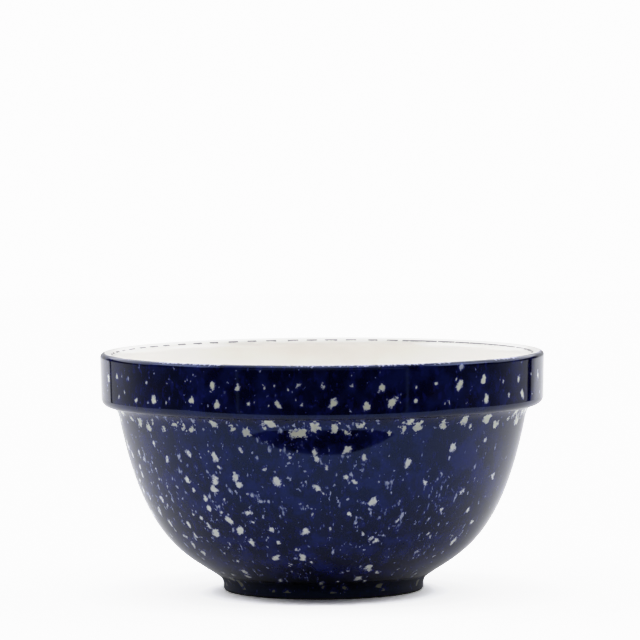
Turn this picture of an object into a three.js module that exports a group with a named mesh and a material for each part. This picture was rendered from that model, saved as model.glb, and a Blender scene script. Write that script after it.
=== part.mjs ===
// Round salad bowl with a collared rim: a fired clay body with a cream glaze inside, a blue glaze
// outside and a glazed recess under the foot. Millimetres, +Z up, and the origin at the centre of
// the foot ring, on the surface that the bowl stands on.
import * as THREE from 'three';

// Overall sizes, measured over the glaze
const RIM_DIAMETER = 240;
const BOWL_HEIGHT = 129;
const FOOT_DIAMETER = 108;

// Collar: the upright band round the top of the wall
const COLLAR_HEIGHT = 28.8;
const COLLAR_TAPER = 0.5; // loss of radius from the top of the collar to its lower edge
const COLLAR_STEP = 9.55; // from the collar's lower edge in to the wall
const COLLAR_EDGE_ROUNDING = 4.6;

// Lip: the top of the collar
const LIP_WIDTH = 8.5;
const LIP_OUTER_ROUNDING = 2.4;
const LIP_FLAT = 0.5; // level stretch between the outer and the inner rounding

// Wall and floor
const WALL_THICKNESS = 6;
const WALL_FLARE = 10; // radius of the wall's sweep outwards under the collar
const WALL_FLARE_END = 50; // degrees from upright, where the sweep meets the collar's level underside
const WALL_LEAN = 11; // degrees from upright, at the lower end of the sweep
const WALL_TOE = 35; // degrees above level, where the wall runs into the foot
const WALL_UPPER_FULLNESS = 0.815; // how far down the wall keeps its lean, as a share of its height
const WALL_LOWER_FULLNESS = 0.385; // how far out the wall keeps its toe, as a share of its run
const FLOOR_THICKNESS = 6.5;

// Foot ring
const FOOT_FILLET = 6;
const FOOT_GLAZED_SIDE = 2; // upright stretch of the foot that the glaze covers
const FOOT_BARE_SIDE = 0.3; // upright stretch of bare clay under the glaze
const FOOT_EDGE_ROUNDING = 0.8;
const FOOT_RING_WIDTH = 8;
const FOOT_RECESS_DEPTH = 3;
const FOOT_RECESS_FILLET = 1.5;

// Glaze coats
const GLAZE_THICKNESS = 0.35;
const GLAZE_CLEARANCE = 0.02; // keeps each coat's solid off the clay's solid

// Curves inside the bowl, as shares of the stretch that they cross
const INNER_LIP_SWEEP = 0.35;
const FLOOR_WALL_SWEEP = 0.12;
const FLOOR_FLAT_SHARE = 0.55;

// Facets of each solid
const FACETS_ROUND = 48;
const ROUNDING_STEPS = 4;
const INNER_LIP_STEPS = 3;
const WALL_STEPS = 9;
const FLOOR_STEPS = 4;

// Colours of the materials
const CLAY_COLOUR = 0xd6cbb2;
const LINER_COLOUR = 0xe9e5dc;
const OUTER_COLOUR = 0x1a2660;
const BASE_COLOUR = 0xded7c6;

const rimRadius = RIM_DIAMETER / 2;
const footRadius = FOOT_DIAMETER / 2;
const lipInnerRounding = LIP_WIDTH - LIP_OUTER_ROUNDING - LIP_FLAT;
const clayDepth = GLAZE_THICKNESS + GLAZE_CLEARANCE;
const footClayRadius = footRadius - clayDepth;
const recessRadius = footClayRadius - FOOT_RING_WIDTH;
const glazeLine = FOOT_EDGE_ROUNDING + FOOT_BARE_SIDE;
const floorTop = FOOT_RECESS_DEPTH + FLOOR_THICKNESS;
const collarUnderside = BOWL_HEIGHT - COLLAR_HEIGHT;

// A point of an outline: its radius from the bowl's axis and its height.
function point(radius, height) {
  return new THREE.Vector2(radius, height);
}

// The point that lies a distance away from a start, in a direction in degrees from level outwards.
function along(start, degrees, distance) {
  const angle = THREE.MathUtils.degToRad(degrees);
  return point(start.x + distance * Math.cos(angle), start.y + distance * Math.sin(angle));
}

function arc(centre, radius, fromDegrees, toDegrees) {
  const from = THREE.MathUtils.degToRad(fromDegrees);
  const to = THREE.MathUtils.degToRad(toDegrees);
  return new THREE.ArcCurve(centre.x, centre.y, radius, from, to, to < from).getPoints(ROUNDING_STEPS);
}

// Points of a curve, each moved square to the curve, to the right of its run.
function shifted(curve, steps, distance) {
  const points = [];
  for (let step = 0; step <= steps; step += 1) {
    const share = step / steps;
    const run = curve.getTangent(share);
    const place = curve.getPoint(share);
    points.push(point(place.x + distance * run.y, place.y - distance * run.x));
  }
  return points;
}

// Joins stretches of outline end to end and drops points that meet.
function join(...stretches) {
  const joined = [];
  for (const place of stretches.flat()) {
    const last = joined[joined.length - 1];
    if (!last || last.distanceTo(place) > 1e-6) {
      joined.push(place);
    }
  }
  return joined;
}

// Centres of the roundings and fillets, and the ends of the wall
const lipOuterCentre = point(rimRadius - LIP_OUTER_ROUNDING, BOWL_HEIGHT - LIP_OUTER_ROUNDING);
const lipInnerCentre = point(rimRadius - LIP_WIDTH + lipInnerRounding, BOWL_HEIGHT - lipInnerRounding);
const collarEdgeCentre = point(
  rimRadius - COLLAR_TAPER - COLLAR_EDGE_ROUNDING,
  collarUnderside + COLLAR_EDGE_ROUNDING,
);
const flareCentre = findFlareCentre();
const wallTop = along(flareCentre, 180 - WALL_LEAN, WALL_FLARE);
const footFilletCentre = point(footRadius + FOOT_FILLET, glazeLine + FOOT_GLAZED_SIDE);
const wallFoot = along(footFilletCentre, 90 + WALL_TOE, FOOT_FILLET);

// The wall's sweep starts from the collar's underside and ends where the collar's step is used up.
function findFlareCentre() {
  const wallRadius = rimRadius - COLLAR_TAPER - COLLAR_STEP;
  const run = WALL_FLARE * Math.cos(THREE.MathUtils.degToRad(WALL_LEAN));
  const drop = WALL_FLARE * Math.sin(THREE.MathUtils.degToRad(WALL_FLARE_END));
  return point(wallRadius + run, collarUnderside - drop);
}

// Where the sweep, set back into the clay by a depth, meets the underside, in degrees from upright.
function flareEnd(depth) {
  const rise = collarUnderside + depth - flareCentre.y;
  return THREE.MathUtils.radToDeg(Math.asin(rise / (WALL_FLARE + depth)));
}

// The outer face of the wall, from the collar down to the foot.
function wallCurve() {
  const upperSweep = WALL_UPPER_FULLNESS * (wallTop.y - wallFoot.y);
  const lowerSweep = WALL_LOWER_FULLNESS * (wallTop.x - wallFoot.x);
  return new THREE.CubicBezierCurve(
    wallTop,
    along(wallTop, 270 - WALL_LEAN, upperSweep),
    along(wallFoot, WALL_TOE, lowerSweep),
    wallFoot,
  );
}

// The inside of the collar, from the lip down to the top of the wall.
function innerLipCurve() {
  const start = point(rimRadius - LIP_WIDTH, lipInnerCentre.y);
  const end = along(wallTop, 180 - WALL_LEAN, WALL_THICKNESS);
  const sweep = INNER_LIP_SWEEP * (start.y - end.y);
  return new THREE.CubicBezierCurve(start, along(start, 270, sweep), along(end, 90 - WALL_LEAN, sweep), end);
}

// The inside of the floor, from the foot of the wall to the bowl's axis.
function floorCurve() {
  const start = along(wallFoot, 90 + WALL_TOE, WALL_THICKNESS);
  const end = point(0, floorTop);
  const flat = point(FLOOR_FLAT_SHARE * start.x, floorTop);
  return new THREE.CubicBezierCurve(start, along(start, 180 + WALL_TOE, FLOOR_WALL_SWEEP * start.x), flat, end);
}

// The outside from the top of the lip to the glaze line on the foot, set back into the clay by a depth.
function outerOutline(depth) {
  return join(
    arc(lipOuterCentre, LIP_OUTER_ROUNDING - depth, 90, 0),
    arc(collarEdgeCentre, COLLAR_EDGE_ROUNDING - depth, 0, -90),
    arc(flareCentre, WALL_FLARE + depth, 180 - flareEnd(depth), 180 - WALL_LEAN),
    shifted(wallCurve(), WALL_STEPS, depth),
    arc(footFilletCentre, FOOT_FILLET + depth, 90 + WALL_TOE, 180),
    point(footRadius - depth, glazeLine),
  );
}

// The inside from the top of the lip to the middle of the floor, set back into the clay by a depth.
function innerOutline(depth) {
  return join(
    point(lipOuterCentre.x, BOWL_HEIGHT - depth),
    arc(lipInnerCentre, lipInnerRounding - depth, 90, 180),
    shifted(innerLipCurve(), INNER_LIP_STEPS, -depth),
    shifted(wallCurve(), WALL_STEPS, WALL_THICKNESS - depth),
    shifted(floorCurve(), FLOOR_STEPS, -depth),
  );
}

// The roof of the recess under the foot, from the bowl's axis outwards, set off the clay by a distance.
function recessOutline(distance) {
  const centre = point(recessRadius - FOOT_RECESS_FILLET, FOOT_RECESS_DEPTH - FOOT_RECESS_FILLET);
  return join(point(0, FOOT_RECESS_DEPTH - distance), arc(centre, FOOT_RECESS_FILLET - distance, 90, 0));
}

// The bare ring that the bowl stands on, from the recess out to the foot's side.
function standingRing() {
  const innerEdge = point(recessRadius + FOOT_EDGE_ROUNDING, FOOT_EDGE_ROUNDING);
  const outerEdge = point(footClayRadius - FOOT_EDGE_ROUNDING, FOOT_EDGE_ROUNDING);
  return join(arc(innerEdge, FOOT_EDGE_ROUNDING, 180, 270), arc(outerEdge, FOOT_EDGE_ROUNDING, 270, 360));
}

// A solid turned round the bowl's axis from an outline, with its axis upright.
function turned(name, outline, material) {
  const geometry = new THREE.LatheGeometry(outline, FACETS_ROUND);
  geometry.rotateX(Math.PI / 2);
  const mesh = new THREE.Mesh(geometry, material);
  mesh.name = name;
  return mesh;
}

function clayMaterial() {
  return new THREE.MeshStandardMaterial({ color: CLAY_COLOUR, roughness: 0.8, metalness: 0 });
}

function glazeMaterial(colour) {
  return new THREE.MeshStandardMaterial({ color: colour, roughness: 0.08, metalness: 0 });
}

// The clay: recess and standing ring, then up the outside, over the lip and down the inside.
function stonewareBody() {
  const outline = join(
    recessOutline(0),
    standingRing(),
    outerOutline(clayDepth).reverse(),
    innerOutline(clayDepth),
  );
  return turned('stoneware_body', outline, clayMaterial());
}

// The blue coat on the collar, the wall and the side of the foot.
function outerGlaze() {
  const face = outerOutline(0);
  const outline = join(face.slice().reverse(), outerOutline(GLAZE_THICKNESS), face[face.length - 1]);
  return turned('outer_glaze', outline, glazeMaterial(OUTER_COLOUR));
}

// The cream coat over the top of the lip and the whole inside.
function linerGlaze() {
  const outline = join(innerOutline(GLAZE_THICKNESS).reverse(), innerOutline(0));
  return turned('liner_glaze', outline, glazeMaterial(LINER_COLOUR));
}

// The coat in the recess under the foot.
function baseGlaze() {
  const outline = join(recessOutline(clayDepth), recessOutline(GLAZE_CLEARANCE).reverse());
  return turned('base_glaze', outline, glazeMaterial(BASE_COLOUR));
}

const bowl = new THREE.Group();
bowl.add(stonewareBody(), outerGlaze(), linerGlaze(), baseGlaze());

export default bowl;
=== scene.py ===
# Looks of the salad bowl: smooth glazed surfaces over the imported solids, a pale floor and studio light.
import math

import bmesh
import bpy
from mathutils import Matrix, Vector, noise


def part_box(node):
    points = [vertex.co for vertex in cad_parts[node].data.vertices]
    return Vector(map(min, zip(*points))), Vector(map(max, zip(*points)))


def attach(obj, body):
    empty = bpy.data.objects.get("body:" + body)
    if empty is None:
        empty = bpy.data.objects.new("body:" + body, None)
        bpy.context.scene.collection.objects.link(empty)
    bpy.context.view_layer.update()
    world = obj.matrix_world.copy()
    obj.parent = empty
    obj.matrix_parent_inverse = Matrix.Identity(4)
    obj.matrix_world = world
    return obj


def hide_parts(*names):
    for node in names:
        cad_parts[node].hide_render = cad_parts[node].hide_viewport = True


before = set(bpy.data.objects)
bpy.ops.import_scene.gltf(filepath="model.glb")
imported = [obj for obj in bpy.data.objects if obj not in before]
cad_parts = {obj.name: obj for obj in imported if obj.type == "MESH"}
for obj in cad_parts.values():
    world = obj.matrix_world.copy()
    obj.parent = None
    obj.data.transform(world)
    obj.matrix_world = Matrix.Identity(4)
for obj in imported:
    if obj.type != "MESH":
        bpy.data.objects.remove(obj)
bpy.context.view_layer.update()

MM = 0.001

# Sizes of the glazed bowl, in metres and degrees: the overall ones come from the frame
RIM_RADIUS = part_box("outer_glaze")[1].x
BOWL_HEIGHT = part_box("liner_glaze")[1].z
FOOT_RADIUS = 54 * MM
COLLAR_HEIGHT = 28.8 * MM
COLLAR_TAPER = 0.5 * MM
COLLAR_STEP = 9.55 * MM
COLLAR_EDGE_ROUNDING = 4.6 * MM
LIP_WIDTH = 8.5 * MM
LIP_OUTER_ROUNDING = 2.4 * MM
LIP_FLAT = 0.5 * MM
WALL_THICKNESS = 6 * MM
WALL_FLARE = 10 * MM
WALL_FLARE_END = 50
WALL_LEAN = 11
WALL_TOE = 35
FLOOR_THICKNESS = 6.5 * MM
FOOT_FILLET = 6 * MM
FOOT_GLAZED_SIDE = 2 * MM
FOOT_BARE_SIDE = 0.3 * MM
FOOT_EDGE_ROUNDING = 0.8 * MM
FOOT_RING_WIDTH = 8 * MM
FOOT_RECESS_DEPTH = 3 * MM
FOOT_RECESS_FILLET = 1.5 * MM
GLAZE_THICKNESS = 0.35 * MM
GLAZE_CLEARANCE = 0.02 * MM

# Curves of the wall and the inside, as shares of the stretch that they cross
WALL_UPPER_FULLNESS = 0.815
WALL_LOWER_FULLNESS = 0.385
INNER_LIP_SWEEP = 0.35
FLOOR_WALL_SWEEP = 0.12
FLOOR_FLAT_SHARE = 0.55

LIP_INNER_ROUNDING = LIP_WIDTH - LIP_OUTER_ROUNDING - LIP_FLAT
CLAY_DEPTH = GLAZE_THICKNESS + GLAZE_CLEARANCE
FOOT_CLAY_RADIUS = FOOT_RADIUS - CLAY_DEPTH
RECESS_RADIUS = FOOT_CLAY_RADIUS - FOOT_RING_WIDTH
GLAZE_LINE = FOOT_EDGE_ROUNDING + FOOT_BARE_SIDE
FLOOR_TOP = FOOT_RECESS_DEPTH + FLOOR_THICKNESS
COLLAR_UNDERSIDE = BOWL_HEIGHT - COLLAR_HEIGHT

# Fineness of the smooth pieces
SEGMENTS_ROUND = 288
FACE_STEP = 1.3 * MM
BACK_STEP = 6 * MM
ROUNDING_DEGREES = 9
LEAST_ROUNDING_STEPS = 2
LEAST_CURVE_STEPS = 3
CURVE_TO_CHORD = 1.1
SHARP_TURN = 35
SAME_PLACE = 1e-7

# Flat chart of each piece: its name, and the share of its height that the hidden points take
CHART_NAME = "OFBake"
HIDDEN_SHARE = 0.04

# Ripple of the blue glaze: its depth in metres, waves per metre, and shares of its depth
RIPPLE_DEPTH = 0.05 * MM
RIPPLE_WAVES = Vector((60, 60, 120))
RIPPLE_FINE_WAVES = Vector((160, 160, 220))
RIPPLE_FINE_SHARE = 0.5
RIPPLE_MIDDLE = 0.5
RIPPLE_SWING = 0.33
RIPPLE_CALM_SWING = 0.05

# Camera: its place in metres, its aim in degrees, and its lens for a 640 pixel frame
CAMERA_DISTANCE = 2.6
CAMERA_HEIGHT = 0.2985
CAMERA_PITCH = 3.365
CAMERA_ROLL = 0.37
CAMERA_ASIDE = 1.0 * MM
CAMERA_CLIP = (0.05, 50)
FRAME_PIXELS = 640
FOCAL_PIXELS = 4824.7
SENSOR_WIDTH = 36.0

# Colours and gloss of the glazes and the clay, with painted shade at the foot and on the lip, and a
# painted highlight at the lip's edge
NAVY = (0.0013, 0.0018, 0.018, 1)
SPONGE_BLUE = (0.0065, 0.0115, 0.095, 1)
DEEP_PURPLE = (0.004, 0.0028, 0.011, 1)
PAINTED_SHADE_BLACK = (0.0012, 0.0012, 0.002, 1)
FOOT_FLECK_SHADED = (0.20, 0.20, 0.13, 1)
BRIGHT_BLUE = (0.010, 0.014, 0.16, 1)
PALE_BLUE = (0.15, 0.19, 0.38, 1)
FLECK_PALE = (0.46, 0.50, 0.66, 1)
FLECK_CREAM = (0.80, 0.82, 0.70, 1)
FLECK_WHITE = (0.84, 0.86, 0.81, 1)
LIP_WORN_AND_SHEEN = (0.34, 0.35, 0.50, 1)
LIP_GREY = (0.18, 0.175, 0.20, 1)
LIP_CREAM_SHADED = (0.72, 0.71, 0.69, 1)
CREAM = (0.95, 0.935, 0.91, 1)
CREAM_SHADE = (0.94, 0.92, 0.89, 1)
CLAY_DARK = (0.62, 0.55, 0.40, 1)
CLAY_LIGHT = (0.72, 0.66, 0.52, 1)
WHITE = (1, 1, 1, 1)
GLAZE_TINT = (0.30, 0.44, 1.0, 1)
GLAZE_INDEX = 1.5
CREAM_ROUGHNESS = 0.15
CLAY_ROUGHNESS = 0.75

# Lengths from here to the stage are in millimetres, and noise has its scale per millimetre.
# A distance along the glazed face starts at the top of the lip.

# Patches: scale and detail of their noise, its levels where they start and are full, strength at each
DAB_PATCHES = (0.085, 4.0, 0.42, 0.64, 0.0, 1.0)
PURPLE_PATCHES = (0.05, 3.0, 0.5, 0.68, 0.0, 0.7)
SPECK_PATCHES = (0.3, 2.0, 0.54, 0.7, 0.0, 0.38)
CLUMP_PATCHES = (0.11, 1.0, 0.38, 0.62, 0.024, -0.014)
WORN_SHEEN_PATCHES = (0.022, 1.0, 0.42, 0.5, 0.0, 1.0)
CREAM_PATCHES = (0.05, 3.0, 0.3, 0.7, 0.0, 1.0)
CLAY_PATCHES = (1.2, 6.0, 0.3, 0.7, 0.0, 1.0)
PURPLE_SHIFT = (300.0, 0.0, 0.0)
SPECK_STRETCH = (1.0, 1.0, 0.55)

# Changes along the glazed face: from, to, and the strength at each
COLLAR_DABS = (26.0, 36.0, 0.6, 1.0)
# Painted shade: the blue turns near black down the foot, which stands in shadow
FOOT_PAINTED_SHADE = (132.0, 145.0, 0.0, 0.95)
FOOT_SPECKS = (132.0, 145.0, 1.0, 0.1)
FOOT_ROUGHNESS = (142.0, 148.0, 0.05, 0.5)

# Dark belt round the lower wall, with a ragged edge
BELT = (86.0, 103.0)
BELT_NOISE = (0.1, 4.0)
BELT_SWING = 24.0
BELT_BLUR = 2.0
BELT_STRENGTH = 0.75

# Crowding of flecks and spatter, which grows to the left: noise, gain per millimetre, and levels
CROWD_NOISE = (0.018, 2.0)
CROWD_GAIN = -0.003
CROWD_LEVELS = (0.24, 0.64)

# Raggedness of blots and edges: scale and detail of its two noises, and the share of the finer one
RAGGED_NOISE = (0.45, 2.0)
RAGGED_FINE_NOISE = (1.1, 2.0)
RAGGED_FINE_SHARE = 0.35
NOISE_MIDDLE = 0.5

# Spatter, as on a drum: layers of stretch, scale and shift, and levels where halo, wisp and middle show
DRUM_RADIUS = 100.0
SPATTER_LAYERS = ((1.35, 0.44, 0.0), (1.6, 0.26, 400.0))
SPATTER_DETAIL = 2.5
SPATTER_CROWDING = (0.0, 0.5, -0.022, 0.03)
WISP_HALO = (0.59, 0.68, 0.0, 0.6)
WISP_COVER = (0.66, 0.71)
WISP_MIDDLE = (0.69, 0.75)
# What thins the spatter: changes along the face, and stretches of it with their blur and strength
SPATTER_FADES = ((26.0, 35.0, 0.05, 0.0), (84.0, 108.0, 0.0, 0.03), (137.0, 147.0, 0.0, 0.05))
SPATTER_GAPS = ((26.0, 33.5, 0.4, 0.2), (41.0, 55.0, 4.0, 0.025))

# Flecks: lattices round the bowl, with one ragged blot or none in each cell.
# Every other row is staggered. A blot wanders from the middle of its cell and has a size between two.
COLLAR_ROWS = (8.2, 25.8)
COLLAR_SHARE = 0.84
COLLAR_FLECKS = {
    "columns": 49, "phase": 0.12, "stagger": 0.26, "start": 8.2, "row_height": 8.8,
    "wander": 0.14, "sizes": (0.4, 2.8), "ragged": 5.0, "slim": 1.45, "lean": 0.7, "seed": 12.0,
}
COLLAR_TICK_SHARE = 0.4
COLLAR_TICKS = {
    "columns": 98, "phase": 0.3, "stagger": 0.5, "start": 8.2, "row_height": 8.8,
    "wander": 0.3, "sizes": (0.1, 1.0), "ragged": 3.0, "slim": 2.2, "lean": 0.5, "seed": 29.0,
}
BAND_ROWS = (33.6, 45.0)
BAND_WAVER = 4.0
BAND_BLUR = 0.3
BAND_SHARE = 0.92
BAND_FLECKS = {
    "columns": 44, "stagger": 0.0, "start": 33.0, "row_height": 13.0,
    "wander": 0.28, "sizes": (1.0, 3.5), "ragged": 9.0, "slim": 1.2, "lean": 1.5,
}
BAND_LAYERS = ({"phase": 0.0, "seed": 11.0}, {"phase": 0.5, "seed": 17.0})
WALL_FLECKS = {
    "columns": 33, "stagger": 0.5, "row_height": 9.2,
    "wander": 0.2, "sizes": (0.6, 2.9), "ragged": 5.5, "slim": 1.45, "lean": 0.9,
}
WALL_LAYERS = (
    {"phase": 0.29, "start": 38.2, "seed": 7.0, "shares": (0.2, 0.85)},
    {"phase": 0.54, "start": 42.8, "seed": 19.0, "shares": (-0.35, 0.75)},
)
WALL_FIRST_ROW = 1
WALL_ROWS_END = 152.4
WALL_THINNING = ((104.0, 112.0, 1.0, 0.4), (136.0, 140.0, 0.0, 0.6))
ROW_BLUR = 0.1
CELL_MIDDLE = 0.5
# Step to a second draw of chances, the bias to small sizes, and how far down a blot left out is put
SECOND_DRAW = (0.0, 0.0, 0.37)
SIZE_BIAS = 1.3
LEFT_OUT_DEPTH = 50.0
# Paint of a fleck: depths inside its edge where halo, cover and middle show, and changes along the face
FLECK_HALO = (-2.2, 0.0, 0.0, 0.5)
FLECK_COVER = (-0.4, 0.4)
FLECK_MIDDLE = (0.0, 1.1)
FLECK_WHITENING = (44.0, 52.0)
# Painted shade: flecks dim to a dull olive down the foot, which stands in shadow
FLECK_PAINTED_SHADE = (141.0, 148.0)

# Lip: the worn edge of the blue, which also carries a painted highlight, the heights where the cream's
# painted shade starts and is full, and the dashes
# Painted highlight: the pale worn edge of the blue also stands for the glint along the lip
WORN_SHEEN_WIDTH = 1.1
WORN_SHEEN_RAGGED = 5.0
WORN_SHEEN_BLUR = 0.3
# Painted shade: the cream is darker on top of the lip, which takes the most light from above
LIP_SHADE_HEIGHTS = (124.5, 127.5)
LIP_DASHES = 62
LIP_DASH_SEED = (2.0, 9.0)
LIP_DASH_SHARE = 0.96
LIP_DASH_PLACES = (0.42, 0.58)
LIP_DASH_HALVES = (0.22, 0.36)
LIP_DASH_JOINING = (38.0, 52.0, 0.0, 0.22)
LIP_DASH_BLUR = 0.03
LIP_DASH_RADII = (113.2, 113.9)
LIP_DASH_RAGGED = 0.8
LIP_DASH_EDGE_BLUR = 0.25

# Painted shade on the outer edge of the bare ring, where it meets the floor: the radii where it starts and
# is full
RING_PAINTED_SHADE = (52.7, 53.3)

# Stage: the floor in metres, and the brightness of the studio by degrees from straight in front
FLOOR_SIZE = 6.0
TABLE_FRONT = 0.2395
TABLE_HALF_WIDTH = 0.6
TABLE_BACK = 0.9
FLOOR_COLOUR = (0.72, 0.72, 0.72, 1)
FLOOR_COLOUR_SEEN = (2.3, 2.3, 2.3, 1)
# Low light: its brightness in front, what is added from one angle off the front to another, and its top
LOW_LIGHT_FRONT = 0.02
LOW_LIGHT_STEPS = ((50, 100, 0.13), (95, 130, 0.42), (139, 147, 0.75))
LOW_LIGHT_TOP = 0
# Upright dark gaps and pale lines in the low light: from and to in degrees to the right of the front
DARK_GAPS = ((-143.5, -141), (133.2, 138.6))
PALE_LINES = ((-45, -43.5), (43.5, 45))
PALE_LINE_LIGHT = 0.3
GAP_BLUR = 0.4
# Soft boxes: from and to in degrees to either side, from and to in degrees above level, and brightness
SOFT_BOXES = (
    (-10, 70, 54, 74, 2.0),
    (-10, 190, 74, 100, 3.5),
    (70, 112, 30, 54, 4.4),
    (105, 190, 16, 74, 1.9),
    (150, 190, 0, 16, 0.6),
    (-10, 45, 10, 24, 0.65),
)
BOX_BLUR = 3
# Brightness of the backdrop that only the camera sees
BACKDROP = 4.0
# Soft shoulder of the picture's tones: scene brightness and the brightness shown for it
SHOULDER = ((0.8, 0.8), (1.0, 0.885), (1.5, 0.93), (2.5, 0.965), (5.0, 0.99))

# Places of the sockets that Blender tells apart only by number, and of the curve for all colours
MIX_FIRST_COLOUR = 6
MIX_SECOND_COLOUR = 7
MIX_RESULT_COLOUR = 2
SHADER_MIX_SHARE = 0
SHADER_MIX_FIRST = 1
SHADER_MIX_SECOND = 2
COMBINED_CURVE = 3


# Outlines: points of radius and height, from which each piece is turned
def along(start, degrees, distance):
    angle = math.radians(degrees)
    return (start[0] + distance * math.cos(angle), start[1] + distance * math.sin(angle))


def arc(centre, radius, start, end):
    steps = max(LEAST_ROUNDING_STEPS, round(abs(end - start) / ROUNDING_DEGREES))
    return [along(centre, start + (end - start) * i / steps, radius) for i in range(steps + 1)]


def bezier(corners, share):
    """The point of a cubic curve at a share of its run, and its direction there."""
    a, b, c, d = [Vector(corner) for corner in corners]
    rest = 1 - share
    place = rest**3 * a + 3 * rest**2 * share * b + 3 * rest * share**2 * c + share**3 * d
    run = rest**2 * (b - a) + 2 * rest * share * (c - b) + share**2 * (d - c)
    return place, run.normalized()


def shifted(corners, distance, spacing):
    """Points along a cubic curve, moved square to it, to the right of its run."""
    chord = (Vector(corners[3]) - Vector(corners[0])).length
    steps = max(LEAST_CURVE_STEPS, round(CURVE_TO_CHORD * chord / spacing))
    points = []
    for i in range(steps + 1):
        place, run = bezier(corners, i / steps)
        points.append((place.x + distance * run.y, place.y - distance * run.x))
    return points


def line(start, end, spacing):
    steps = max(1, round((Vector(end) - Vector(start)).length / spacing))
    return [tuple(Vector(start).lerp(Vector(end), i / steps)) for i in range(steps + 1)]


def join(*stretches):
    """Stretches of outline end to end, without points that meet."""
    joined = []
    for stretch in stretches:
        for place in stretch:
            if not joined or (Vector(joined[-1]) - Vector(place)).length > SAME_PLACE:
                joined.append(place)
    return joined


LIP_OUTER_CENTRE = (RIM_RADIUS - LIP_OUTER_ROUNDING, BOWL_HEIGHT - LIP_OUTER_ROUNDING)
LIP_INNER_CENTRE = (RIM_RADIUS - LIP_WIDTH + LIP_INNER_ROUNDING, BOWL_HEIGHT - LIP_INNER_ROUNDING)
COLLAR_EDGE_CENTRE = (
    RIM_RADIUS - COLLAR_TAPER - COLLAR_EDGE_ROUNDING,
    COLLAR_UNDERSIDE + COLLAR_EDGE_ROUNDING,
)
FLARE_CENTRE = (
    RIM_RADIUS - COLLAR_TAPER - COLLAR_STEP + WALL_FLARE * math.cos(math.radians(WALL_LEAN)),
    COLLAR_UNDERSIDE - WALL_FLARE * math.sin(math.radians(WALL_FLARE_END)),
)
WALL_TOP = along(FLARE_CENTRE, 180 - WALL_LEAN, WALL_FLARE)
FOOT_FILLET_CENTRE = (FOOT_RADIUS + FOOT_FILLET, GLAZE_LINE + FOOT_GLAZED_SIDE)
WALL_FOOT = along(FOOT_FILLET_CENTRE, 90 + WALL_TOE, FOOT_FILLET)


def wall_curve():
    upper = along(WALL_TOP, 270 - WALL_LEAN, WALL_UPPER_FULLNESS * (WALL_TOP[1] - WALL_FOOT[1]))
    lower = along(WALL_FOOT, WALL_TOE, WALL_LOWER_FULLNESS * (WALL_TOP[0] - WALL_FOOT[0]))
    return (WALL_TOP, upper, lower, WALL_FOOT)


def inner_lip_curve():
    start = (RIM_RADIUS - LIP_WIDTH, LIP_INNER_CENTRE[1])
    end = along(WALL_TOP, 180 - WALL_LEAN, WALL_THICKNESS)
    sweep = INNER_LIP_SWEEP * (start[1] - end[1])
    return (start, along(start, 270, sweep), along(end, 90 - WALL_LEAN, sweep), end)


def floor_curve():
    start = along(WALL_FOOT, 90 + WALL_TOE, WALL_THICKNESS)
    flat = (FLOOR_FLAT_SHARE * start[0], FLOOR_TOP)
    return (start, along(start, 180 + WALL_TOE, FLOOR_WALL_SWEEP * start[0]), flat, (0, FLOOR_TOP))


def outer_outline(depth, spacing):
    """The outside from the top of the lip to the glaze line, set back into the clay by a depth."""
    lip = arc(LIP_OUTER_CENTRE, LIP_OUTER_ROUNDING - depth, 90, 0)
    edge = arc(COLLAR_EDGE_CENTRE, COLLAR_EDGE_ROUNDING - depth, 0, -90)
    flare_rise = (COLLAR_UNDERSIDE + depth - FLARE_CENTRE[1]) / (WALL_FLARE + depth)
    flare_end = math.degrees(math.asin(flare_rise))
    flare = arc(FLARE_CENTRE, WALL_FLARE + depth, 180 - flare_end, 180 - WALL_LEAN)
    foot = arc(FOOT_FILLET_CENTRE, FOOT_FILLET + depth, 90 + WALL_TOE, 180)
    return join(
        lip,
        line(lip[-1], edge[0], spacing),
        edge,
        line(edge[-1], flare[0], spacing),
        flare,
        shifted(wall_curve(), depth, spacing),
        foot,
        line(foot[-1], (FOOT_RADIUS - depth, GLAZE_LINE), spacing),
    )


def inner_outline(depth, spacing):
    """The inside from the top of the lip to the middle of the floor, set back by a depth."""
    rounding = arc(LIP_INNER_CENTRE, LIP_INNER_ROUNDING - depth, 90, 180)
    return join(
        line((LIP_OUTER_CENTRE[0], BOWL_HEIGHT - depth), rounding[0], spacing),
        rounding,
        shifted(inner_lip_curve(), -depth, spacing),
        shifted(wall_curve(), WALL_THICKNESS - depth, spacing),
        shifted(floor_curve(), -depth, spacing),
    )


def recess_outline(distance, spacing):
    """The roof of the recess under the foot, from the axis outwards, set off the clay by a distance."""
    centre = (RECESS_RADIUS - FOOT_RECESS_FILLET, FOOT_RECESS_DEPTH - FOOT_RECESS_FILLET)
    corner = arc(centre, FOOT_RECESS_FILLET - distance, 90, 0)
    return join(line((0, FOOT_RECESS_DEPTH - distance), corner[0], spacing), corner)


def standing_ring(spacing):
    inner_centre = (RECESS_RADIUS + FOOT_EDGE_ROUNDING, FOOT_EDGE_ROUNDING)
    outer_centre = (FOOT_CLAY_RADIUS - FOOT_EDGE_ROUNDING, FOOT_EDGE_ROUNDING)
    inner = arc(inner_centre, FOOT_EDGE_ROUNDING, 180, 270)
    outer = arc(outer_centre, FOOT_EDGE_ROUNDING, 270, 360)
    return join(inner, line(inner[-1], outer[0], spacing), outer)


def run_lengths(outline):
    """The length of an outline up to each of its points."""
    lengths = [0.0]
    for before, here in zip(outline, outline[1:]):
        lengths.append(lengths[-1] + (Vector(here) - Vector(before)).length)
    return lengths


# Turned pieces
def chart_heights(outline, shown):
    """Heights on the flat chart: the shown points take most of it, and the hidden ones a strip."""
    lengths = run_lengths(outline)
    face = lengths[shown - 1]
    heights = []
    for i, length in enumerate(lengths):
        if i < shown:
            heights.append(1 - (1 - HIDDEN_SHARE) * length / face)
        else:
            heights.append(HIDDEN_SHARE * (lengths[-1] - length) / (lengths[-1] - face))
    return heights


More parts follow.
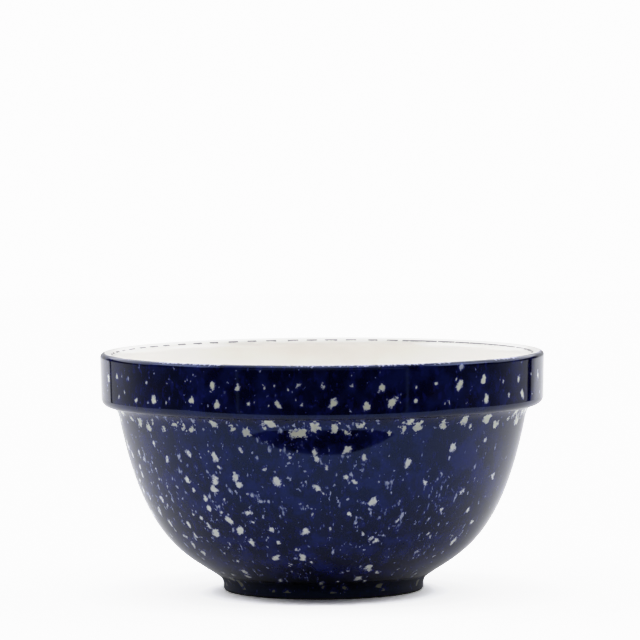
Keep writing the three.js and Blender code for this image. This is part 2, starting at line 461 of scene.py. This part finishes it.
def turned_rows(outline, shown, closed, place):
    """The vertices of a turned piece, and the row of them for each point of its outline."""
    vertices, rows = [], []
    for i, (radius, height) in enumerate(outline):
        if closed and i == len(outline) - 1:
            rows.append(rows[0])
            continue
        count = SEGMENTS_ROUND if radius > SAME_PLACE else 1
        rows.append(range(len(vertices), len(vertices) + count))
        put = place if i < shown else upright
        for k in range(count):
            vertices.append(put(radius, height, 2 * math.pi * k / SEGMENTS_ROUND))
    return vertices, rows


def turned_faces(rows, heights):
    """The faces between rows of vertices, and the place of each corner on the flat chart."""
    faces, charts = [], []
    for i in range(len(rows) - 1):
        upper, lower = rows[i], rows[i + 1]
        for k in range(SEGMENTS_ROUND):
            left, right = k / SEGMENTS_ROUND, (k + 1) / SEGMENTS_ROUND
            corners = [
                (upper[k % len(upper)], left, heights[i]),
                (lower[k % len(lower)], left, heights[i + 1]),
            ]
            if len(lower) > 1:
                corners.append((lower[(k + 1) % len(lower)], right, heights[i + 1]))
            if len(upper) > 1:
                corners.append((upper[(k + 1) % len(upper)], right, heights[i]))
            faces.append([corner[0] for corner in corners])
            charts.extend([corner[1:] for corner in corners])
    return faces, charts


def turned(name, outline, shown, closed, place):
    """A piece turned round the bowl's axis. Its outline starts with the shown points, which place puts."""
    vertices, rows = turned_rows(outline, shown, closed, place)
    faces, charts = turned_faces(rows, chart_heights(outline, shown))
    mesh = bpy.data.meshes.new(name)
    mesh.from_pydata(vertices, [], faces)
    chart = mesh.uv_layers.new(name=CHART_NAME)
    chart.data.foreach_set("uv", [value for pair in charts for value in pair])
    face_outwards(mesh)
    mesh.polygons.foreach_set("use_smooth", [True] * len(faces))
    mark_sharp_rings(mesh, outline, rows, closed)
    mesh.validate()
    piece = bpy.data.objects.new(name, mesh)
    bpy.context.scene.collection.objects.link(piece)
    return piece


def face_outwards(mesh):
    solid = bmesh.new()
    solid.from_mesh(mesh)
    bmesh.ops.recalc_face_normals(solid, faces=solid.faces)
    solid.to_mesh(mesh)
    solid.free()


def turns_sharply(before, here, after):
    first, second = Vector(here) - Vector(before), Vector(after) - Vector(here)
    return math.degrees(first.angle(second)) > SHARP_TURN


def mark_sharp_rings(mesh, outline, rows, closed):
    ring = outline[:-1] if closed else outline
    sharp = set()
    for i in range(len(ring)):
        if not closed and i in (0, len(ring) - 1):
            continue
        if turns_sharply(ring[i - 1], ring[i], ring[(i + 1) % len(ring)]):
            sharp.update(rows[i])
    flags = [edge.vertices[0] in sharp and edge.vertices[1] in sharp for edge in mesh.edges]
    attribute = mesh.attributes.get("sharp_edge") or mesh.attributes.new("sharp_edge", "BOOLEAN", "EDGE")
    attribute.data.foreach_set("value", flags)


def upright(radius, height, angle):
    return (radius * math.sin(angle), radius * math.cos(angle), height)


def rippled(radius, height, angle):
    """The glaze face, very slightly uneven, and never outside its nominal radius."""
    place = Vector(upright(radius, height, angle))
    wave = noise.noise(place * RIPPLE_WAVES) + RIPPLE_FINE_SHARE * noise.noise(place * RIPPLE_FINE_WAVES)
    calm = WALL_TOP[1] < height < COLLAR_EDGE_CENTRE[1]
    swing = RIPPLE_CALM_SWING if calm else RIPPLE_SWING
    inward = RIPPLE_DEPTH * (RIPPLE_MIDDLE + swing * wave)
    return upright(radius - inward, height, angle)


def clay_body():
    outline = join(
        inner_outline(CLAY_DEPTH, BACK_STEP)[::-1],
        outer_outline(CLAY_DEPTH, BACK_STEP),
        standing_ring(FACE_STEP)[::-1],
        recess_outline(0, BACK_STEP)[::-1],
    )
    return turned("clay_body", outline, len(outline), False, upright)


def blue_coat():
    face = outer_outline(0, FACE_STEP)
    outline = join(face, outer_outline(GLAZE_THICKNESS, BACK_STEP)[::-1], face[:1])
    return turned("blue_coat", outline, len(face), True, rippled)


def cream_liner():
    face = inner_outline(0, FACE_STEP)[::-1]
    outline = join(face, inner_outline(GLAZE_THICKNESS, BACK_STEP))
    return turned("cream_liner", outline, len(face), False, upright)


def base_coat():
    face = recess_outline(CLAY_DEPTH, FACE_STEP)
    outline = join(face, recess_outline(GLAZE_CLEARANCE, BACK_STEP)[::-1])
    return turned("base_coat", outline, len(face), False, upright)


# Materials
class Nodes:
    """A node tree, and short calls that add nodes to it and join them."""

    def __init__(self, tree):
        self.tree = tree
        tree.nodes.clear()

    def node(self, kind, settings=None, inputs=None):
        made = self.tree.nodes.new(kind)
        for key, value in (settings or {}).items():
            setattr(made, key, value)
        for key, value in (inputs or {}).items():
            self.feed(made.inputs[key], value)
        return made

    def feed(self, socket, value):
        if isinstance(value, bpy.types.NodeSocket):
            self.tree.links.new(value, socket)
        else:
            socket.default_value = value

    def math(self, operation, *values):
        made = self.node("ShaderNodeMath", {"operation": operation})
        for socket, value in zip(made.inputs, values):
            self.feed(socket, value)
        return made.outputs[0]

    def plus(self, first, second):
        return self.math("ADD", first, second)

    def minus(self, first, second):
        return self.math("SUBTRACT", first, second)

    def times(self, first, second):
        return self.math("MULTIPLY", first, second)

    def times_plus(self, first, second, third):
        return self.math("MULTIPLY_ADD", first, second, third)

    def distance(self, x, y):
        return self.math("SQRT", self.plus(self.math("POWER", x, 2.0), self.math("POWER", y, 2.0)))

    def vector(self, operation, first, second):
        made = self.node("ShaderNodeVectorMath", {"operation": operation})
        self.feed(made.inputs[0], first)
        self.feed(made.inputs[1], second)
        return made.outputs["Vector"]

    def point(self, x, y, z):
        return self.node("ShaderNodeCombineXYZ", inputs={"X": x, "Y": y, "Z": z}).outputs["Vector"]

    def parts(self, vector):
        return self.node("ShaderNodeSeparateXYZ", inputs={"Vector": vector}).outputs

    def mix(self, factor, first, second):
        made = self.node("ShaderNodeMix", {"data_type": "RGBA"}, {"Factor": factor})
        self.feed(made.inputs[MIX_FIRST_COLOUR], first)
        self.feed(made.inputs[MIX_SECOND_COLOUR], second)
        return made.outputs[MIX_RESULT_COLOUR]

    def ramp(self, value, low, high, start=0.0, end=1.0):
        """A soft change from start to end, as a value goes from low to high."""
        made = self.node("ShaderNodeMapRange", {"clamp": True, "interpolation_type": "SMOOTHSTEP"})
        names = ("Value", "From Min", "From Max", "To Min", "To Max")
        for name, number in zip(names, (value, low, high, start, end)):
            self.feed(made.inputs[name], number)
        return made.outputs[0]

    def spread(self, share, low, high):
        return self.times_plus(share, high - low, low)

    def between(self, value, low, high, blur):
        """One while a value is between low and high, and nought elsewhere, with blurred ends."""
        above = self.ramp(self.minus(value, low), -blur, blur)
        below = self.ramp(self.minus(value, high), blur, -blur)
        return self.times(above, below)

    def noise(self, place, scale, detail):
        made = self.node("ShaderNodeTexNoise", inputs={"Vector": place, "Scale": scale, "Detail": detail})
        return made.outputs["Fac"]

    def patches(self, place, scale, detail, low, high, start, end):
        return self.ramp(self.noise(place, scale, detail), low, high, start, end)

    def chances(self, cell):
        """Three even chances, the same all over a cell."""
        made = self.node("ShaderNodeTexWhiteNoise", {"noise_dimensions": "3D"}, {"Vector": cell})
        return self.parts(made.outputs["Color"])

    def surface(self, looks):
        self.finish(self.node("ShaderNodeBsdfPrincipled", inputs=looks))

    def finish(self, shader):
        self.node("ShaderNodeOutputMaterial", inputs={"Surface": shader.outputs[0]})


def new_material(name):
    made = bpy.data.materials.new(name)
    made.use_nodes = True
    return made, Nodes(made.node_tree)


class BowlChart:
    """Where a point lies on the bowl: its place, radius and turns, and how ragged an edge is there."""

    def __init__(self, nodes):
        scale = {"Vector": nodes.node("ShaderNodeTexCoord").outputs["Object"], "Scale": 1 / MM}
        self.place = nodes.node("ShaderNodeVectorMath", {"operation": "SCALE"}, scale).outputs["Vector"]
        self.x, self.y, self.height = nodes.parts(self.place)
        self.radius = nodes.distance(self.x, self.y)
        chart = nodes.node("ShaderNodeUVMap", {"uv_map": CHART_NAME}).outputs["UV"]
        self.turns, self.share, _ = nodes.parts(chart)
        coarse = nodes.minus(nodes.noise(self.place, *RAGGED_NOISE), NOISE_MIDDLE)
        fine = nodes.minus(nodes.noise(self.place, *RAGGED_FINE_NOISE), NOISE_MIDDLE)
        self.rough = nodes.times_plus(fine, RAGGED_FINE_SHARE, coarse)


class BlueChart(BowlChart):
    """The same on the blue coat, with the distance along its face."""

    def __init__(self, nodes):
        super().__init__(nodes)
        face_length = run_lengths(outer_outline(0, FACE_STEP))[-1]
        run = nodes.math("DIVIDE", nodes.minus(1.0, self.share), 1 - HIDDEN_SHARE)
        self.along = nodes.times(run, face_length / MM)

    def rolled(self, nodes, stretch):
        """The place on the face as if it lay on a drum, drawn out along the wall by a stretch."""
        x = nodes.times(nodes.math("DIVIDE", self.x, self.radius), DRUM_RADIUS)
        y = nodes.times(nodes.math("DIVIDE", self.y, self.radius), DRUM_RADIUS)
        return nodes.point(x, y, nodes.math("DIVIDE", self.along, stretch))


def lattice_cell(nodes, chart, lattice):
    """The cell of a lattice that a point lies in, and its share of the way across and down the cell."""
    rows = nodes.math("DIVIDE", nodes.minus(chart.along, lattice["start"]), lattice["row_height"])
    row = nodes.math("FLOOR", rows)
    odd = nodes.math("FLOORED_MODULO", row, 2.0)
    shift = nodes.times_plus(odd, lattice["stagger"], lattice["phase"])
    spots = nodes.times_plus(chart.turns, lattice["columns"], shift)
    spot = nodes.math("FLOOR", spots)
    column = nodes.math("FLOORED_MODULO", spot, lattice["columns"])
    return nodes.point(column, row, lattice["seed"]), nodes.minus(spots, spot), nodes.minus(rows, row)


def blots(nodes, chart, share, band, lattice):
    """Ragged blots on a lattice: how far a point lies inside one, and far below nought outside."""
    cell, across, down = lattice_cell(nodes, chart, lattice)
    aside, lower, turn = nodes.chances(cell)
    bulk, chance, _ = nodes.chances(nodes.vector("ADD", cell, SECOND_DRAW))
    middles = (CELL_MIDDLE - lattice["wander"], CELL_MIDDLE + lattice["wander"])
    across = nodes.minus(across, nodes.spread(aside, *middles))
    down = nodes.minus(down, nodes.spread(lower, *middles))
    x = nodes.times(across, nodes.times(chart.radius, 2 * math.pi / lattice["columns"]))
    y = nodes.times(down, lattice["row_height"])
    angle = nodes.spread(turn, -lattice["lean"], lattice["lean"])
    cosine, sine = nodes.math("COSINE", angle), nodes.math("SINE", angle)
    long_way = nodes.minus(nodes.times(x, sine), nodes.times(y, cosine))
    short_way = nodes.plus(nodes.times(x, cosine), nodes.times(y, sine))
    reach = nodes.distance(long_way, nodes.times(short_way, lattice["slim"]))
    size = nodes.spread(nodes.math("POWER", bulk, SIZE_BIAS), *lattice["sizes"])
    edge = nodes.times_plus(chart.rough, lattice["ragged"], size)
    shown = nodes.times(nodes.math("LESS_THAN", chance, share), band)
    left_out = nodes.times(nodes.minus(1.0, shown), LEFT_OUT_DEPTH)
    return nodes.minus(nodes.minus(edge, reach), left_out)


def collar_flecks(nodes, chart):
    on_collar = nodes.between(chart.along, *COLLAR_ROWS, ROW_BLUR)
    return [
        blots(nodes, chart, COLLAR_SHARE, on_collar, COLLAR_FLECKS),
        blots(nodes, chart, COLLAR_TICK_SHARE, on_collar, COLLAR_TICKS),
    ]


def band_flecks(nodes, chart):
    """The crowded flecks under the collar, whose band has a wavering edge."""
    wavering = nodes.times_plus(chart.rough, BAND_WAVER, chart.along)
    in_band = nodes.between(wavering, *BAND_ROWS, BAND_BLUR)
    return [blots(nodes, chart, BAND_SHARE, in_band, {**BAND_FLECKS, **layer}) for layer in BAND_LAYERS]


def wall_flecks(nodes, chart, crowd):
    thinned = nodes.plus(*[nodes.ramp(chart.along, *change) for change in WALL_THINNING])
    layers = []
    for layer in WALL_LAYERS:
        lattice = {**WALL_FLECKS, **layer}
        start = lattice["start"] + WALL_FIRST_ROW * lattice["row_height"]
        on_wall = nodes.between(chart.along, start, WALL_ROWS_END, ROW_BLUR)
        share = nodes.times(nodes.spread(crowd, *lattice["shares"]), thinned)
        layers.append(blots(nodes, chart, share, on_wall, lattice))
    return layers


def fleck_depth(nodes, chart, crowd):
    """How far a point lies inside a fleck of any kind."""
    layers = collar_flecks(nodes, chart) + band_flecks(nodes, chart) + wall_flecks(nodes, chart, crowd)
    depth = layers[0]
    for layer in layers[1:]:
        depth = nodes.math("MAXIMUM", depth, layer)
    return depth


def flecked(nodes, chart, colour, depth):
    """Lays flecks over a colour, each with a bluish edge and a halo of brighter blue, and dims them with
    painted shade down the foot.
    """
    colour = nodes.mix(nodes.ramp(depth, *FLECK_HALO), colour, BRIGHT_BLUE)
    shaded_on_foot = nodes.ramp(chart.along, *FLECK_PAINTED_SHADE)
    middle = nodes.mix(nodes.ramp(chart.along, *FLECK_WHITENING), FLECK_CREAM, FLECK_WHITE)
    middle = nodes.mix(shaded_on_foot, middle, FOOT_FLECK_SHADED)
    edge = nodes.mix(shaded_on_foot, FLECK_PALE, FOOT_FLECK_SHADED)
    tint = nodes.mix(nodes.ramp(depth, *FLECK_MIDDLE), edge, middle)
    return nodes.mix(nodes.ramp(depth, *FLECK_COVER), colour, tint)


def sponged_ground(nodes, chart):
    """The blue itself: dabs of brighter blue, patches and a belt of near black, and faint specks."""
    dabs = nodes.times(nodes.patches(chart.place, *DAB_PATCHES), nodes.ramp(chart.along, *COLLAR_DABS))
    colour = nodes.mix(dabs, NAVY, SPONGE_BLUE)
    elsewhere = nodes.vector("ADD", chart.place, PURPLE_SHIFT)
    colour = nodes.mix(nodes.patches(elsewhere, *PURPLE_PATCHES), colour, DEEP_PURPLE)
    colour = nodes.mix(dark_belt(nodes, chart), colour, DEEP_PURPLE)
    # Painted shade: near black down the foot, which stands in shadow
    colour = nodes.mix(nodes.ramp(chart.along, *FOOT_PAINTED_SHADE), colour, PAINTED_SHADE_BLACK)
    tall = nodes.vector("MULTIPLY", chart.place, SPECK_STRETCH)
    specks = nodes.times(nodes.patches(tall, *SPECK_PATCHES), nodes.ramp(chart.along, *FOOT_SPECKS))
    return nodes.mix(specks, colour, BRIGHT_BLUE)


def dark_belt(nodes, chart):
    swing = nodes.noise(chart.place, *BELT_NOISE)
    ragged = nodes.times_plus(swing, BELT_SWING, nodes.minus(chart.along, BELT_SWING / 2))
    return nodes.times(nodes.between(ragged, *BELT, BELT_BLUR), BELT_STRENGTH)


def spattered(nodes, chart, colour, crowd):
    """Broken wisps in clumps, palest at their middle, fewer on the collar and none on its lower edge."""
    thinner = nodes.patches(chart.place, *CLUMP_PATCHES)
    for fade in SPATTER_FADES:
        thinner = nodes.plus(thinner, nodes.ramp(chart.along, *fade))
    for start, end, blur, strength in SPATTER_GAPS:
        thinner = nodes.times_plus(nodes.between(chart.along, start, end, blur), strength, thinner)
    crowded = nodes.ramp(crowd, *SPATTER_CROWDING)
    for stretch, scale, shift in SPATTER_LAYERS:
        place = nodes.vector("ADD", chart.rolled(nodes, stretch), (shift, 0.0, 0.0))
        level = nodes.plus(crowded, nodes.noise(place, scale, SPATTER_DETAIL))
        level = nodes.minus(level, thinner)
        colour = nodes.mix(nodes.ramp(level, *WISP_HALO), colour, BRIGHT_BLUE)
        tint = nodes.mix(nodes.ramp(level, *WISP_MIDDLE), PALE_BLUE, FLECK_PALE)
        colour = nodes.mix(nodes.ramp(level, *WISP_COVER), colour, tint)
    return colour


def worn_lip_and_sheen(nodes, chart):
    """Where the blue is worn pale at the edge of the lip, in ragged stretches: wear together with a
    painted highlight.
    """
    width = nodes.times_plus(chart.rough, WORN_SHEEN_RAGGED, WORN_SHEEN_WIDTH)
    worn_and_sheen = nodes.ramp(nodes.minus(width, chart.along), -WORN_SHEEN_BLUR, WORN_SHEEN_BLUR)
    return nodes.times(worn_and_sheen, nodes.patches(chart.place, *WORN_SHEEN_PATCHES))


def blue_glaze():
    material, nodes = new_material("blue_glaze")
    chart = BlueChart(nodes)
    crowd = nodes.times_plus(chart.x, CROWD_GAIN, nodes.noise(chart.place, *CROWD_NOISE))
    crowd = nodes.ramp(crowd, *CROWD_LEVELS)
    colour = sponged_ground(nodes, chart)
    colour = spattered(nodes, chart, colour, crowd)
    colour = flecked(nodes, chart, colour, fleck_depth(nodes, chart, crowd))
    # Worn edge of the blue at the lip, which is also a painted highlight
    colour = nodes.mix(worn_lip_and_sheen(nodes, chart), colour, LIP_WORN_AND_SHEEN)
    roughness = nodes.ramp(chart.along, *FOOT_ROUGHNESS)
    looks = {"Base Color": colour, "Roughness": roughness, "IOR": GLAZE_INDEX, "Specular Tint": GLAZE_TINT}
    nodes.surface(looks)
    return material


def cream_glaze():
    material, nodes = new_material("cream_glaze")
    chart = BowlChart(nodes)
    colour = nodes.mix(nodes.patches(chart.place, *CREAM_PATCHES), CREAM, CREAM_SHADE)
    # Painted shade: darker cream on top of the lip, which takes the most light from above
    colour = nodes.mix(nodes.ramp(chart.height, *LIP_SHADE_HEIGHTS), colour, LIP_CREAM_SHADED)
    colour = nodes.mix(lip_dashes(nodes, chart), colour, LIP_GREY)
    nodes.surface({"Base Color": colour, "Roughness": CREAM_ROUGHNESS, "IOR": GLAZE_INDEX})
    return material


def lip_dashes(nodes, chart):
    """Dashes of uneven length round the lip, which run together on the right."""
    spots = nodes.times(chart.turns, LIP_DASHES)
    spot = nodes.math("FLOOR", spots)
    length, aside, chance = nodes.chances(nodes.point(spot, *LIP_DASH_SEED))
    across = nodes.minus(nodes.minus(spots, spot), nodes.spread(aside, *LIP_DASH_PLACES))
    half = nodes.plus(nodes.spread(length, *LIP_DASH_HALVES), nodes.ramp(chart.x, *LIP_DASH_JOINING))
    inside = nodes.minus(half, nodes.math("ABSOLUTE", across))
    dash = nodes.ramp(inside, -LIP_DASH_BLUR, LIP_DASH_BLUR)
    dash = nodes.times(dash, nodes.math("LESS_THAN", chance, LIP_DASH_SHARE))
    inner, outer = LIP_DASH_RADII
    inner = nodes.times_plus(chart.rough, LIP_DASH_RAGGED, inner)
    return nodes.times(dash, nodes.between(chart.radius, inner, outer, LIP_DASH_EDGE_BLUR))


def bare_clay():
    material, nodes = new_material("bare_clay")
    chart = BowlChart(nodes)
    colour = nodes.mix(nodes.patches(chart.place, *CLAY_PATCHES), CLAY_DARK, CLAY_LIGHT)
    # Painted shade: near black on the outer edge of the ring, where it meets the floor
    colour = nodes.mix(nodes.ramp(chart.radius, *RING_PAINTED_SHADE), colour, PAINTED_SHADE_BLACK)
    nodes.surface({"Base Color": colour, "Roughness": CLAY_ROUGHNESS})
    return material


def dress(piece, node, material):
    piece.data.materials.append(material)
    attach(piece, "root")
    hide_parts(node)


# Stage: a pale floor, soft light and the camera
def stage_floor():
    half = FLOOR_SIZE / 2
    corners = [(-half, -half, 0), (half, -half, 0), (half, half, 0), (-half, half, 0)]
    mesh = bpy.data.meshes.new("floor")
    mesh.from_pydata(corners, [], [(0, 1, 2, 3)])
    mesh.materials.append(floor_paint())
    floor = bpy.data.objects.new("floor", mesh)
    bpy.context.scene.collection.objects.link(floor)


def floor_paint():
    """A pale paint. Reflections and bounced light see it only as far as a table would reach."""
    material, nodes = new_material("pale_floor")
    seen = nodes.node("ShaderNodeLightPath").outputs["Is Camera Ray"]
    x, y, _ = nodes.parts(nodes.node("ShaderNodeTexCoord").outputs["Object"])
    past_front = nodes.math("LESS_THAN", y, -TABLE_FRONT)
    past_side = nodes.math("GREATER_THAN", nodes.math("ABSOLUTE", x), TABLE_HALF_WIDTH)
    past_back = nodes.math("GREATER_THAN", y, TABLE_BACK)
    past = nodes.math("MAXIMUM", past_front, nodes.math("MAXIMUM", past_side, past_back))
    colour = nodes.mix(seen, FLOOR_COLOUR, FLOOR_COLOUR_SEEN)
    surface = nodes.node("ShaderNodeMixShader", inputs={
        SHADER_MIX_SHARE: nodes.times(past, nodes.minus(1.0, seen)),
        SHADER_MIX_FIRST: nodes.node("ShaderNodeBsdfDiffuse", inputs={"Color": colour}).outputs[0],
        SHADER_MIX_SECOND: nodes.node("ShaderNodeBsdfTransparent").outputs[0],
    })
    nodes.finish(surface)
    return material


def low_light(nodes, aside, off_front):
    """Light from below level: dark in front, with dark gaps and pale lines at the sides."""
    light = LOW_LIGHT_FRONT
    for near, far, brightness in LOW_LIGHT_STEPS:
        light = nodes.plus(nodes.ramp(off_front, near, far, 0.0, brightness), light)
    for left, right in DARK_GAPS:
        light = nodes.times(light, nodes.minus(1.0, nodes.between(aside, left, right, GAP_BLUR)))
    for left, right in PALE_LINES:
        light = nodes.times_plus(nodes.between(aside, left, right, GAP_BLUR), PALE_LINE_LIGHT, light)
    return light


def studio_world():
    """Dark in front, with soft boxes at the sides and overhead, and a pale backdrop for the camera."""
    world = bpy.data.worlds.new("studio")
    world.use_nodes = True
    nodes = Nodes(world.node_tree)
    x, y, z = nodes.parts(nodes.node("ShaderNodeTexCoord").outputs["Generated"])
    aside = nodes.math("DEGREES", nodes.math("ARCTAN2", x, nodes.times(y, -1.0)))
    rise = nodes.math("DEGREES", nodes.math("ARCSINE", z))
    off_front = nodes.math("ABSOLUTE", aside)
    below = nodes.ramp(rise, LOW_LIGHT_TOP + BOX_BLUR, LOW_LIGHT_TOP - BOX_BLUR)
    light = nodes.times(low_light(nodes, aside, off_front), below)
    for near, far, low, high, brightness in SOFT_BOXES:
        level = nodes.between(off_front, near, far, BOX_BLUR)
        box = nodes.times(level, nodes.between(rise, low, high, BOX_BLUR))
        light = nodes.times_plus(box, brightness, light)
    seen = nodes.node("ShaderNodeLightPath").outputs["Is Camera Ray"]
    strength = nodes.ramp(seen, 0.0, 1.0, light, BACKDROP)
    background = nodes.node("ShaderNodeBackground", inputs={"Color": WHITE, "Strength": strength})
    nodes.node("ShaderNodeOutputWorld", inputs={"Surface": background.outputs[0]})
    bpy.context.scene.world = world


def camera():
    data = bpy.data.cameras.new("camera")
    data.sensor_width = SENSOR_WIDTH
    data.lens = SENSOR_WIDTH * FOCAL_PIXELS / FRAME_PIXELS
    data.clip_start, data.clip_end = CAMERA_CLIP
    eye = bpy.data.objects.new("camera", data)
    place = Matrix.Translation((-CAMERA_ASIDE, -CAMERA_DISTANCE, CAMERA_HEIGHT))
    level = Matrix.Rotation(math.radians(90 - CAMERA_PITCH), 4, "X")
    roll = Matrix.Rotation(math.radians(-CAMERA_ROLL), 4, "Z")
    eye.matrix_world = place @ level @ roll
    bpy.context.scene.collection.objects.link(eye)
    bpy.context.scene.camera = eye


def soft_highlights():
    """Tones as they are up to the shoulder, and bright ones pressed together above it."""
    settings = bpy.context.scene.view_settings
    settings.view_transform = "Standard"
    settings.use_curve_mapping = True
    mapping = settings.curve_mapping
    brightest, white = SHOULDER[-1]
    mapping.white_level = (brightest, brightest, brightest)
    mapping.extend = "HORIZONTAL"
    points = mapping.curves[COMBINED_CURVE].points
    points[0].handle_type = "VECTOR"
    points[1].location = (1.0, white)
    for brightness, shown in SHOULDER[:-1]:
        points.new(brightness / brightest, shown).handle_type = "VECTOR"
    mapping.update()


camera()
dress(clay_body(), "stoneware_body", bare_clay())
cream = cream_glaze()
dress(cream_liner(), "liner_glaze", cream)
dress(base_coat(), "base_glaze", cream)
dress(blue_coat(), "outer_glaze", blue_glaze())
stage_floor()
studio_world()
soft_highlights()
